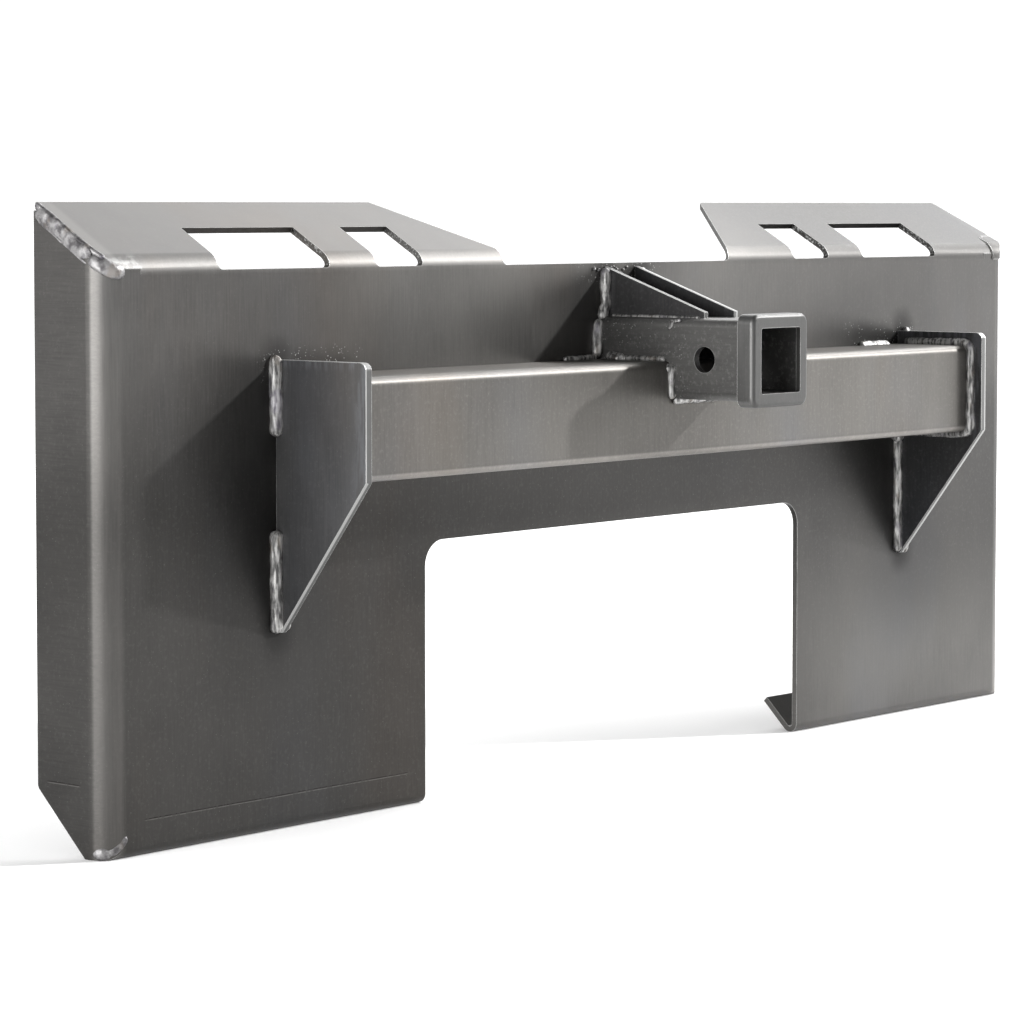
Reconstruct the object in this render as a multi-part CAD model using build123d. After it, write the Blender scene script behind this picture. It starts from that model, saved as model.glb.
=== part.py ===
from build123d import *
import os
from math import cos, radians, sin, tan

# Bent sheet: millimetres and degrees
plate_width = 1143.0
plate_height = 460.0
sheet = 4.8
side_depth = 70.5
side_radius = 18.0
side_cut_start = 22.0
side_cut_angle = 43.5
side_corner_radius = 6.0

# Top flange, its central gap and its hook windows
flange_slope = 30.0
flange_reach = 71.5
flange_radius = 18.0
gap_drop = 7.5
gap_corner_radius = 4.0
left_flange_front = 424.8
left_flange_rear = 343.5
left_slant_start = 9.5
left_flange_rear_setback = 3.0
left_rear_radius = 3.0
right_flange_front = 427.8
right_flange_rear = 373.3
right_flange_rear_setback = 17.0
right_rear_radius = 10.0
flange_setback = 2.0
window_drop = 7.0
window_reach = 39.1
window_shift = -1.7
wide_window_inset = 172.5
wide_window_width = 115.5
narrow_window_inset = 306.9
narrow_window_width = 52.5
window_corner_radius = 4.0

# Bottom lips and the notch between the legs
lip_angle = 45.0
lip_reach = 35.3
lip_radius = 7.5
lip_end_gap = 1.5
notch_width = 482.6
notch_shift = 2.1
bridge_height = 217.2
notch_radius = 20.0

# Square crossmember and the gussets that close its ends
crossmember_side = 76.2
crossmember_wall = 4.8
crossmember_radius = 6.5
crossmember_drop = 84.4
gusset_inset = 170.2
gusset_sheet = 6.35
gusset_depth = 89.0
gusset_top_rise = 11.2
gusset_leg = 112.0
gusset_nose_drop = 86.0
gusset_tip = 3.5
gusset_corner_radius = 6.0

# Receiver socket, collar and top ribs
receiver_bore = 51.3
receiver_wall = 6.35
receiver_radius = 6.5
receiver_bore_radius = 2.0
receiver_overhang = 83.8
receiver_rise = 2.0
saddle_clearance = 0.3
collar_side = 73.0
collar_length = 15.5
collar_lip = 4.0
collar_radius = 8.0
collar_edge_radius = 3.5
pin_hole = 20.6
pin_setback = 51.0
rib_spacing = 39.0
rib_sheet = 4.8
rib_reach = 101.0
rib_drop = 3.0
rib_nose = 5.0

# Weld beads
bead = 6.0
small_bead = 3.5
left_corner_bead_reach = 8.0
right_corner_bead_reach = 15.0
corner_bead_proud = 1.4
corner_bead_skirt = 5.5
right_corner_bead_slope = 26.1
corner_bead_round = 4.0
bead_crown = 0.85
bead_end_gap = 0.5
outer_stitch_upper = 60.0
outer_stitch_lower = 78.0
top_stitch_length = 42.0
top_stitch_inset = 12.0
bottom_stitch_length = 40.0
bottom_stitch_count = 4

half_width = plate_width / 2
bend_start = half_width - side_radius
wide_window_centre = half_width - wide_window_inset
narrow_window_centre = half_width - narrow_window_inset
flange_tan = tan(radians(flange_slope))
flange_sin = sin(radians(flange_slope))
flange_cos = cos(radians(flange_slope))
flange_corner = plate_height - flange_reach * flange_tan
flange_back = flange_reach + sheet * flange_sin
underside_corner = flange_corner - sheet / flange_cos
gap_level = flange_corner - gap_drop
notch_height = flange_corner - bridge_height
lip_sin = sin(radians(lip_angle))
lip_cos = cos(radians(lip_angle))
lip_corner = lip_radius - lip_radius / tan(radians(lip_angle / 2))
receiver_side = receiver_bore + 2 * receiver_wall
crossmember_top = flange_corner - crossmember_drop
crossmember_level = crossmember_top - crossmember_side
gusset_outer = half_width - gusset_inset
gusset_inner = gusset_outer - gusset_sheet
gusset_bottom_level = crossmember_level - gusset_leg
receiver_reach = crossmember_side + receiver_overhang
receiver_level = crossmember_top + receiver_rise
receiver_top = receiver_level + receiver_side / 2
collar_rear = collar_length - receiver_reach
rib_outer = rib_spacing / 2 + rib_sheet / 2
rib_top_level = gap_level - rib_drop
clear = 30.0

# The face plane is at Y 0 while a piece is built, then every piece moves by this much,
# so that the origin is under the middle of the whole part
face_offset = (receiver_reach - flange_back) / 2


def side_plan(points, radii):
    """A closed outline seen from the side, with local X along Y and local Y along Z."""
    return Plane.YZ * make_face(FilletPolyline(points, radius=radii, close=True))


def prism_across(face, start, end):
    """A side outline drawn out along X from start to end."""
    return Pos(start, 0, 0) * extrude(face, end - start)


def mirrored(piece):
    return piece.mirror(Plane.YZ)


def sheet_profile():
    """One sheet thick all along: lip, bottom bend, face, top bend and flange."""
    tip = (lip_reach, lip_corner + lip_reach / tan(radians(lip_angle)))
    inner_tip = (tip[0] - sheet * lip_cos, tip[1] + sheet * lip_sin)
    inner_bottom = (sheet, lip_corner + sheet / tan(radians(lip_angle / 2)))
    inner_top = (sheet, flange_corner - sheet * (1 - flange_sin) / flange_cos)
    edge = (flange_reach, plate_height)
    inner_edge = (flange_back, plate_height - sheet * flange_cos)
    points = [tip, (0, lip_corner), (0, flange_corner), edge, inner_edge, inner_top, inner_bottom, inner_tip]
    inner_lip_radius = lip_radius - sheet
    inner_flange_radius = flange_radius - sheet
    radii = [0, lip_radius, flange_radius, 0, 0, inner_flange_radius, inner_lip_radius, 0]
    return side_plan(points, radii)


def flange_plan(inner_end, rear_setback, rear_radius):
    """The right flange seen from above, given its inner end from front to rear."""
    outer = half_width - flange_setback
    points = inner_end + [(half_width - rear_setback, flange_back), (outer, side_radius + sheet), (outer, 0)]
    radii = [0] * (len(inner_end) - 1) + [rear_radius, rear_radius, 0, side_radius]
    outline = make_face(FilletPolyline(points, radius=radii, close=True))
    return Pos(0, 0, gap_level) * extrude(outline, plate_height - gap_level + clear)


def left_flange_plan():
    """Square up through the bend, then slanting away from the middle."""
    front = half_width - left_flange_front
    end = [(front, 0), (front, left_slant_start), (half_width - left_flange_rear, flange_back)]
    return mirrored(flange_plan(end, left_flange_rear_setback, left_rear_radius))


def right_flange_plan():
    """One slant from the face to the rear edge."""
    end = [(half_width - right_flange_front, 0), (half_width - right_flange_rear, flange_back)]
    return flange_plan(end, right_flange_rear_setback, right_rear_radius)


def side_channel():
    """The right side flange with its bend, cut under the top flange and along the slanting lower edge."""
    start = bend_start - side_radius
    inner = half_width - sheet
    points = [(start, 0), (half_width, 0), (half_width, side_depth), (inner, side_depth), (inner, sheet),
              (start, sheet)]
    radii = [0, side_radius, 0, 0, side_radius - sheet, 0]
    plan = make_face(FilletPolyline(points, radius=radii, close=True))
    channel = extrude(plan, plate_height)
    top_rear = underside_corner + side_depth * flange_tan
    low_rear = (side_depth - side_cut_start) * tan(radians(side_cut_angle))
    points = [(0, 0), (side_cut_start, 0), (side_depth, low_rear), (side_depth, top_rear),
              (0, underside_corner)]
    outline = side_plan(points, [lip_radius, 0, side_corner_radius, 0, 0])
    return channel & prism_across(outline, start, half_width)


def lip_wing(profile):
    """The right end of the lip, trimmed to stand clear inside the side bend."""
    inner = bend_start - sheet
    outer = half_width - sheet - lip_end_gap
    front = sheet + lip_end_gap
    points = [(inner, front), (outer, front), (outer, side_depth), (inner, side_depth)]
    corner = side_radius - front
    plan = make_face(FilletPolyline(points, radius=[0, corner, 0, 0], close=True))
    return prism_across(profile, inner, half_width) & extrude(plan, notch_height)


def window(centre, width):
    """A hook window through the flange and its bend, square to the sheet at both ends."""
    level = flange_corner - window_drop
    rear = (window_reach, flange_corner + window_reach * flange_tan)
    below = (rear[0] + 2 * sheet * flange_sin, rear[1] - 2 * sheet * flange_cos)
    above = (rear[0] - 2 * sheet * flange_sin, rear[1] + 2 * sheet * flange_cos)
    points = [(-sheet, level), (2 * sheet, level), below, above, (-sheet, flange_corner + sheet)]
    cutter = prism_across(side_plan(points, [0] * len(points)), centre - width / 2, centre + width / 2)
    corners = cutter.edges().filter_by(Axis.Y).group_by(Axis.Z)[0]
    return fillet(corners, window_corner_radius)


def notch():
    """The opening between the legs, with rounded upper corners."""
    left = notch_shift - notch_width / 2
    right = notch_shift + notch_width / 2
    points = [(left, -clear), (right, -clear), (right, notch_height), (left, notch_height)]
    outline = make_face(FilletPolyline(points, radius=[0, 0, notch_radius, notch_radius], close=True))
    return Pos(0, 2 * side_depth, 0) * extrude(Plane.XZ * outline, 3 * side_depth)


def with_rounded_gap(plate):
    """Rounds the two inside corners where the ends of the flanges rise from the gap."""
    level = plate.edges().filter_by_position(Axis.Z, gap_level, gap_level)
    across_sheet = [edge for edge in level if edge.length < 2 * sheet and abs((edge @ 0.5).X) < bend_start]
    return fillet(across_sheet, gap_corner_radius)


def formed_plate():
    """The single bent sheet."""
    profile = sheet_profile()
    across = prism_across(profile, -half_width, half_width)
    face = prism_across(profile, -bend_start, bend_start)
    face -= Pos(0, 0, gap_level + plate_height / 2) * Box(plate_width, plate_width, plate_height)
    right_flange = across & right_flange_plan()
    left_flange = across & left_flange_plan()
    channel = side_channel()
    wing = lip_wing(profile)
    plate = face + right_flange + left_flange + channel + mirrored(channel) + wing + mirrored(wing)
    plate = with_rounded_gap(plate)
    for side in (-1, 1):
        plate -= window(window_shift + side * wide_window_centre, wide_window_width)
        plate -= window(window_shift + side * narrow_window_centre, narrow_window_width)
    return plate - notch()


def crossmember_outline(side, radius):
    """The square section of the crossmember, against the face."""
    middle = crossmember_level + crossmember_side / 2
    return Plane.YZ * (Pos(-crossmember_side / 2, middle) * RectangleRounded(side, side, radius))


def crossmember_bar():
    """The crossmember's outer form, between the two gussets."""
    outline = crossmember_outline(crossmember_side, crossmember_radius)
    return prism_across(outline, -gusset_inner, gusset_inner)


def crossmember_tube():
    bore = crossmember_side - 2 * crossmember_wall
    hollow = crossmember_outline(bore, crossmember_radius - crossmember_wall)
    return crossmember_bar() - prism_across(hollow, -gusset_inner, gusset_inner)


def end_gusset():
    """The right end plate: it closes the tube and slopes down to a blunt tip on the face."""
    top = crossmember_top + gusset_top_rise
    nose = top - gusset_nose_drop
    points = [(0, top), (-gusset_depth, top), (-gusset_depth, nose), (-gusset_tip, gusset_bottom_level),
              (0, gusset_bottom_level)]
    outline = side_plan(points, [0, gusset_corner_radius, gusset_tip, 0, 0])
    return prism_across(outline, gusset_inner, gusset_outer)


def square_prism(side, radius, start, end):
    """A square bar on the receiver's axis, from Y start to Y end."""
    section = Plane.XZ * RectangleRounded(side, side, radius)
    return Pos(0, end, receiver_level) * extrude(section, end - start)


def saddle():
    """What the notch takes out of the receiver so that it sits over the crossmember."""
    side = crossmember_side + 2 * saddle_clearance
    radius = crossmember_radius + saddle_clearance
    outline = crossmember_outline(side, radius)
    lower = Pos(0, -crossmember_side / 2, crossmember_level) * Box(
        2 * receiver_side, side, crossmember_side + 2 * saddle_clearance)
    return prism_across(outline, -receiver_side, receiver_side) + lower


def pin_bore():
    """The cross hole for the hitch pin."""
    bore = Rot(0, 90, 0) * Cylinder(pin_hole / 2, 2 * receiver_side)
    return Pos(0, pin_setback - receiver_reach, receiver_level) * bore


def receiver_tube():
    front = collar_lip - receiver_reach
    tube = square_prism(receiver_side, receiver_radius, front, 0)
    tube -= square_prism(receiver_bore, receiver_bore_radius, front - clear, clear)
    return tube - saddle() - pin_bore()


def receiver_collar():
    """The band round the mouth: it caps the end of the tube and has rounded edges."""
    band = square_prism(collar_side, collar_radius, -receiver_reach, collar_rear)
    rim = band.faces().sort_by(Axis.Y)[0].outer_wire().edges()
    band = fillet(rim, collar_edge_radius)
    band -= square_prism(receiver_side, receiver_radius, collar_lip - receiver_reach, collar_rear)
    return band - square_prism(receiver_bore, receiver_bore_radius, -receiver_reach - clear, collar_rear)


def receiver_rib():
    """The right rib from the top of the face down to the socket."""
    points = [(0, receiver_top), (0, rib_top_level), (-rib_reach, receiver_top + rib_nose),
              (-rib_reach, receiver_top)]
    outline = side_plan(points, [0] * len(points))
    return prism_across(outline, rib_outer - rib_sheet, rib_outer)


def fillet_bead(corner, run, first, second, leg):
    """A straight bead in an inside corner: two legs along the surfaces and a crowned face."""
    origin = Vector(*corner)
    one = origin + Vector(*first) * leg
    two = origin + Vector(*second) * leg
    outward = (Vector(*first) + Vector(*second)).normalized()
    crown = (one + two) / 2 + outward * bead_crown
    section = make_face([Line(origin, one), ThreePointArc(one, crown, two), Line(two, origin)])
    return extrude(section, Vector(*run).length, dir=Vector(*run).normalized())


def top_corner_weld(plate, slope, reach):
    """Right side: a broad bead along the end of the top flange and round the front corner."""
    start = bend_start - sheet
    outer = half_width + corner_bead_proud
    front = -corner_bead_proud
    inner = half_width - reach
    rear = side_depth
    points = [(start, front), (outer, front), (outer, rear), (inner, rear), (inner, reach), (start, reach)]
    radii = [0, side_radius + corner_bead_proud, 0, 0, side_radius - reach, 0]
    plan = make_face(FilletPolyline(points, radius=radii, close=True))
    above = flange_corner + corner_bead_proud / flange_cos
    below = underside_corner - corner_bead_skirt
    rise = rear * tan(radians(slope))
    outline = side_plan([(front, below), (front, above), (rear, above + rise), (rear, below + rise)],
                        [0, flange_radius + corner_bead_proud, 0, 0])
    band = extrude(plan, plate_height + clear) & prism_across(outline, start, outer)
    return largest_solid((band & bead_crest(start, outer, above, slope)) - plate)


def bead_crest(start, outer, level, slope):
    """A long bar under the top of the corner bead, with its outer upper edge rounded."""
    along = Plane(origin=(0, 0, level), x_dir=(1, 0, 0), z_dir=(0, cos(radians(slope)), sin(radians(slope))))
    points = [(start, 0), (outer, 0), (outer, plate_height), (start, plate_height)]
    section = make_face(FilletPolyline(points, radius=[0, corner_bead_round, 0, 0], close=True))
    return extrude(along * section, plate_height, both=True)


def largest_solid(pieces):
    return pieces.solids().sort_by(SortBy.VOLUME)[-1]


def bottom_corner_weld():
    """Right side: behind the lip, between its underside and the inner face of the side flange."""
    start = side_radius + bead_end_gap
    length = (lip_reach - start) / lip_sin
    corner = (half_width - sheet, start, lip_corner + start * lip_cos / lip_sin)
    run = (0, length * lip_sin, length * lip_cos)
    return fillet_bead(corner, run, (-1, 0, 0), (0, lip_cos, -lip_sin), bead)


def gusset_outer_welds():
    """Right side: two stitches between the outer face of the gusset and the plate."""
    top = crossmember_top + gusset_top_rise
    start = (gusset_outer, 0, top - outer_stitch_upper)
    upper = fillet_bead(start, (0, 0, outer_stitch_upper), (1, 0, 0), (0, -1, 0), bead)
    low = (gusset_outer, 0, gusset_bottom_level)
    lower = fillet_bead(low, (0, 0, outer_stitch_lower), (1, 0, 0), (0, -1, 0), bead)
    return upper + lower


def gusset_inner_weld():
    """Right side: the root bead between the inner face of the gusset and the plate, under the tube."""
    length = crossmember_level - bead - gusset_bottom_level
    return fillet_bead((gusset_inner, 0, gusset_bottom_level), (0, 0, length), (-1, 0, 0), (0, -1, 0), bead)


def tube_end_weld():
    """Right side: above, in front of and below the end of the crossmember."""
    flat = crossmember_side - 2 * crossmember_radius
    near = -crossmember_side + crossmember_radius
    top = fillet_bead((gusset_inner, near, crossmember_top), (0, flat, 0), (-1, 0, 0), (0, 0, 1), bead)
    low = crossmember_level + crossmember_radius
    front = fillet_bead((gusset_inner, -crossmember_side, low), (0, 0, flat), (-1, 0, 0), (0, -1, 0), bead)
    under = fillet_bead((gusset_inner, near, crossmember_level), (0, flat, 0), (-1, 0, 0), (0, 0, -1), bead)
    corners = [(-crossmember_side, crossmember_top), (-crossmember_side, crossmember_level)]
    weld = top + front + under
    for back, level in corners:
        weld += tube_corner_bead(back, level)
    return weld


def tube_corner_bead(back, level):
    """The bead where it turns round a rounded front edge of the tube, at the right gusset."""
    lean = 1 if level > crossmember_level else -1
    centre = (back + crossmember_radius, level - lean * crossmember_radius)
    ring = Plane.YZ * (Circle(crossmember_radius + bead) - Circle(crossmember_radius))
    turn = Pos(gusset_inner - bead, *centre) * extrude(ring, bead)
    cone = Pos(gusset_inner, *centre) * Rot(0, -90, 0) * Cone(
        crossmember_radius + bead, crossmember_radius, bead, align=(Align.CENTER, Align.CENTER, Align.MIN))
    reach = crossmember_radius + bead
    middle = (gusset_inner - bead / 2, centre[0] - reach / 2, centre[1] + lean * reach / 2)
    quarter = Pos(*middle) * Box(bead, reach, reach)
    return turn & cone & quarter


def tube_stitch(start, length, level, up):
    """A stitch in the groove between the plate and a rounded rear edge of the tube."""
    reach = crossmember_radius + bead
    corner = (start, 0, level - up * crossmember_radius)
    return fillet_bead(corner, (length, 0, 0), (0, -1, 0), (0, 0, up), reach) - crossmember_bar()


def crossmember_top_stitches():
    start = gusset_inner - bead - top_stitch_inset - top_stitch_length
    right = tube_stitch(start, top_stitch_length, crossmember_top, 1)
    return right + mirrored(right)


def crossmember_bottom_stitches():
    pitch = 2 * gusset_inner / (bottom_stitch_count + 1)
    first = pitch - gusset_inner - bottom_stitch_length / 2
    starts = [first + index * pitch for index in range(bottom_stitch_count)]
    return Part() + [tube_stitch(start, bottom_stitch_length, crossmember_level, -1) for start in starts]


def receiver_saddle_welds():
    """Both sides: down the front of the crossmember beside the socket."""
    side = receiver_side / 2
    top = crossmember_top - crossmember_radius
    bottom = receiver_level - side + receiver_radius
    right = fillet_bead((side, -crossmember_side, bottom), (0, 0, top - bottom), (1, 0, 0), (0, -1, 0), bead)
    corner = (receiver_radius - side, -crossmember_side, receiver_level - side)
    run = (2 * side - 2 * receiver_radius, 0, 0)
    under = fillet_bead(corner, run, (0, -1, 0), (0, 0, -1), bead)
    return right + mirrored(right) + under


def receiver_side_welds():
    """Both sides: along the top of the crossmember beside the socket."""
    side = receiver_side / 2
    length = crossmember_side - crossmember_radius - bead - bead_end_gap
    start = crossmember_radius - crossmember_side
    right = fillet_bead((side, start, crossmember_top), (0, length, 0), (1, 0, 0), (0, 0, 1), bead)
    return right + mirrored(right)


def receiver_root_welds():
    """Both sides: between the socket and the plate, above the crossmember."""
    side = receiver_side / 2
    length = receiver_top - receiver_radius - crossmember_top
    right = fillet_bead((side, 0, crossmember_top), (0, 0, length), (1, 0, 0), (0, -1, 0), bead)
    return right + mirrored(right)


def rib_plate_welds():
    """Both ribs: the outer root beads up the plate."""
    length = rib_top_level - receiver_top - 2 * bead
    right = fillet_bead((rib_outer, 0, receiver_top + bead), (0, 0, length), (1, 0, 0), (0, -1, 0), bead)
    return right + mirrored(right)


def rib_tube_welds():
    """Both ribs: the outer root beads along the top of the socket."""
    start = small_bead - rib_reach
    length = rib_reach - bead - small_bead - bead_end_gap
    right = fillet_bead((rib_outer, start, receiver_top), (0, length, 0), (1, 0, 0), (0, 0, 1), small_bead)
    return right + mirrored(right)


def collar_weld():
    """Behind the collar, above and below the socket."""
    half = receiver_side / 2 - receiver_radius
    run = (2 * half, 0, 0)
    top = fillet_bead((-half, collar_rear, receiver_top), run, (0, 1, 0), (0, 0, 1), small_bead)
    low = receiver_level - receiver_side / 2
    return top + fillet_bead((-half, collar_rear, low), run, (0, 1, 0), (0, 0, -1), small_bead)


def both_sides(name, right):
    """A right-hand piece and its mirror image, under their two names."""
    return {"left_" + name: mirrored(right), "right_" + name: right}


def build():
    plate = formed_plate()
    pieces = {"formed_plate": plate, "crossmember_tube": crossmember_tube()}
    pieces.update(both_sides("end_gusset", end_gusset()))
    pieces["receiver_tube"] = receiver_tube()
    pieces["receiver_collar"] = receiver_collar()
    pieces.update(both_sides("receiver_rib", receiver_rib()))
    pieces["top_left_corner_weld"] = mirrored(
        top_corner_weld(mirrored(plate), flange_slope, left_corner_bead_reach))
    pieces["top_right_corner_weld"] = top_corner_weld(plate, right_corner_bead_slope, right_corner_bead_reach)
    pieces["bottom_right_corner_weld"] = bottom_corner_weld()
    pieces["bottom_left_corner_weld"] = mirrored(pieces["bottom_right_corner_weld"])
    pieces.update(both_sides("gusset_outer_welds", gusset_outer_welds()))
    pieces.update(both_sides("gusset_inner_weld", gusset_inner_weld()))
    pieces.update(both_sides("tube_end_weld", tube_end_weld()))
    pieces["crossmember_top_stitches"] = crossmember_top_stitches()
    pieces["crossmember_bottom_stitches"] = crossmember_bottom_stitches()
    pieces["receiver_saddle_welds"] = receiver_saddle_welds()
    pieces["receiver_side_welds"] = receiver_side_welds()
    pieces["receiver_root_welds"] = receiver_root_welds()
    pieces["rib_plate_welds"] = rib_plate_welds()
    pieces["rib_tube_welds"] = rib_tube_welds()
    pieces["collar_weld"] = collar_weld()
    return pieces


os.makedirs("parts", exist_ok=True)
for node, piece in build().items():
    export_step(Pos(0, face_offset, 0) * piece, "parts/" + node + ".step")
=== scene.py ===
import bpy
import math
import random
from mathutils import Matrix, Vector, noise


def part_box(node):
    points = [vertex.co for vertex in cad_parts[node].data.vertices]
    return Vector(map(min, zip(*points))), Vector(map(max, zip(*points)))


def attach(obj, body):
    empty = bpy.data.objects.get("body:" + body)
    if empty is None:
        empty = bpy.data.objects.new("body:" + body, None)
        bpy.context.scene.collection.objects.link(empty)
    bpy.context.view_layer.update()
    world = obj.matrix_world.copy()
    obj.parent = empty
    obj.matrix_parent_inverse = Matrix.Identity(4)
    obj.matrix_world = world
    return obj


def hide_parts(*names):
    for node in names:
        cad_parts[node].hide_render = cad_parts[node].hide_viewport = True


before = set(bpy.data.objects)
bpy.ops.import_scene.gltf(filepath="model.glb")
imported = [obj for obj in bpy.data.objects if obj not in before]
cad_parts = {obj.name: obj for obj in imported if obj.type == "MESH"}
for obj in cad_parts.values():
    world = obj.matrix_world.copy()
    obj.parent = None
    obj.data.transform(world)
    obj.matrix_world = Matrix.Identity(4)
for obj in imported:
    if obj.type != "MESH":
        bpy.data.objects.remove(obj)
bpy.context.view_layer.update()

MM = 0.001

# Places read from the CAD pieces, in millimetres, apart from FACE_Y, which is in metres
FACE_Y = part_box("crossmember_tube")[1].y
GUSSET_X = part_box("right_end_gusset")[1].x / MM
GUSSET_INNER_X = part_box("right_end_gusset")[0].x / MM
GUSSET_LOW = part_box("right_end_gusset")[0].z / MM
GUSSET_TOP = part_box("right_end_gusset")[1].z / MM
TUBE_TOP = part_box("crossmember_tube")[1].z / MM
TUBE_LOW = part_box("crossmember_tube")[0].z / MM
TUBE_FRONT = (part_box("crossmember_tube")[0].y - FACE_Y) / MM
SOCKET_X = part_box("receiver_tube")[1].x / MM
SOCKET_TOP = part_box("receiver_tube")[1].z / MM
SOCKET_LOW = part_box("receiver_tube")[0].z / MM
RIB_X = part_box("right_receiver_rib")[1].x / MM
RIB_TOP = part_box("right_receiver_rib")[1].z / MM
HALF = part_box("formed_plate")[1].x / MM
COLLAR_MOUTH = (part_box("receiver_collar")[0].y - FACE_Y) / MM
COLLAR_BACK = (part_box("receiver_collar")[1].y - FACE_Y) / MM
BORE = 51.3
PIN_RADIUS = 10.3
PIN_SETBACK = 51.0
PIN_Y = COLLAR_MOUTH + PIN_SETBACK
FLANGE_TAN = math.tan(math.radians(30))
FLANGE_REACH = 71.5
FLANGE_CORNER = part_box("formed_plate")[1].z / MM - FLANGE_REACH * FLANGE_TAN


def at(x, y, z):
    """Millimetres from the face of the plate to the shared frame."""
    return Vector((x * MM, y * MM + FACE_Y, z * MM))


# ---------- materials ----------
class Nodes:
    """A short way to write a node material."""

    def __init__(self, name):
        self.material = bpy.data.materials.new(name)
        self.material.use_nodes = True
        self.tree = self.material.node_tree
        self.shader = self.tree.nodes["Principled BSDF"]
        self.place = self.add("ShaderNodeTexCoord").outputs["Object"]

    def add(self, kind, **settings):
        node = self.tree.nodes.new(kind)
        for key, value in settings.items():
            setattr(node, key, value)
        return node

    def put(self, socket, value):
        """Links a socket to another, or sets its value."""
        if isinstance(value, bpy.types.NodeSocket):
            self.tree.links.new(value, socket)
        else:
            socket.default_value = value

    def math(self, operation, *values):
        node = self.add("ShaderNodeMath", operation=operation)
        for socket, value in zip(node.inputs, values):
            self.put(socket, value)
        return node.outputs[0]

    def plus(self, a, b):
        return self.math("ADD", a, b)

    def minus(self, a, b):
        return self.math("SUBTRACT", a, b)

    def times(self, a, b):
        return self.math("MULTIPLY", a, b)

    def absolute(self, a):
        return self.math("ABSOLUTE", a)

    def gain(self, mask, share):
        """1 where the mask is 0, and more by that share where it is 1."""
        return self.math("MULTIPLY_ADD", mask, share, 1.0)

    def vector(self, operation, a, b):
        node = self.add("ShaderNodeVectorMath", operation=operation)
        self.put(node.inputs[0], a)
        self.put(node.inputs[1], b)
        return node.outputs["Value"] if operation in ("DISTANCE", "DOT_PRODUCT") else node.outputs[0]

    def feed(self, texture, scale, shift):
        """Gives a texture the place on the part, scaled to cycles per metre and shifted."""
        mapping = self.add("ShaderNodeMapping")
        self.put(mapping.inputs["Vector"], self.place)
        mapping.inputs["Scale"].default_value = scale
        mapping.inputs["Location"].default_value = shift
        self.put(texture.inputs["Vector"], mapping.outputs[0])
        texture.inputs["Scale"].default_value = 1.0

    def noise(self, scale, shift=(0, 0, 0), detail=3.0, rough=0.5, distortion=0.0):
        node = self.add("ShaderNodeTexNoise")
        self.feed(node, scale, shift)
        node.inputs["Detail"].default_value = detail
        node.inputs["Roughness"].default_value = rough
        node.inputs["Distortion"].default_value = distortion
        return node.outputs[0]

    def cells(self, scale):
        """Distance from the nearest of many random points."""
        node = self.add("ShaderNodeTexVoronoi")
        self.feed(node, scale, (0, 0, 0))
        return node.outputs["Distance"]

    def ramp(self, value, low, high, out_low=0.0, out_high=1.0):
        node = self.add("ShaderNodeMapRange")
        node.interpolation_type = "SMOOTHSTEP"
        for socket, item in zip(node.inputs, (value, low, high, out_low, out_high)):
            self.put(socket, item)
        return node.outputs[0]

    def mix(self, factor, a, b, blend="MIX"):
        node = self.add("ShaderNodeMix", data_type="RGBA", blend_type=blend)
        self.put(node.inputs["Factor"], factor)
        for socket, value in ((node.inputs["A"], a), (node.inputs["B"], b)):
            self.put(socket, (*value, 1) if isinstance(value, tuple) and len(value) == 3 else value)
        return node.outputs["Result"]

    def blend(self, factor, a, b):
        node = self.add("ShaderNodeMix", data_type="FLOAT")
        self.put(node.inputs["Factor"], factor)
        self.put(node.inputs["A"], a)
        self.put(node.inputs["B"], b)
        return node.outputs["Result"]

    def bump(self, height, strength, distance):
        node = self.add("ShaderNodeBump")
        self.put(node.inputs["Height"], height)
        node.inputs["Strength"].default_value = strength
        node.inputs["Distance"].default_value = distance
        return node.outputs[0]

    def parts(self, vector):
        node = self.add("ShaderNodeSeparateXYZ")
        self.put(node.inputs[0], vector)
        return tuple(node.outputs)

    def facing(self):
        """The three parts of the direction that the surface looks in."""
        return self.parts(self.add("ShaderNodeNewGeometry").outputs["Normal"])

    def near(self, start, end):
        """Distance in metres from the line between two points that differ in one axis."""
        low = Vector([min(a, b) for a, b in zip(start, end)])
        high = Vector([max(a, b) for a, b in zip(start, end)])
        nearest = self.vector("MINIMUM", self.vector("MAXIMUM", self.place, low), high)
        return self.vector("DISTANCE", self.place, nearest)

    def near_any(self, lines):
        """Distance in metres from the nearest of several such lines."""
        distance = self.near(*lines[0])
        for start, end in lines[1:]:
            distance = self.math("MINIMUM", distance, self.near(start, end))
        return distance

    def edge_wear_and_highlight(self, radius):
        """1 on sharp edges, 0 on flats."""
        bevel = self.add("ShaderNodeBevel", samples=6)
        bevel.inputs["Radius"].default_value = radius
        flat = self.add("ShaderNodeNewGeometry").outputs["Normal"]
        alike = self.vector("DOT_PRODUCT", bevel.outputs[0], flat)
        return self.ramp(alike, 0.995, 0.93)


def shaded(color, share):
    return tuple(share * part for part in color)


def stretched(across, along, axis):
    """The scale of a noise that runs lengthwise in one axis."""
    scale = [across] * 3
    scale[axis] = along
    return scale


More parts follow.
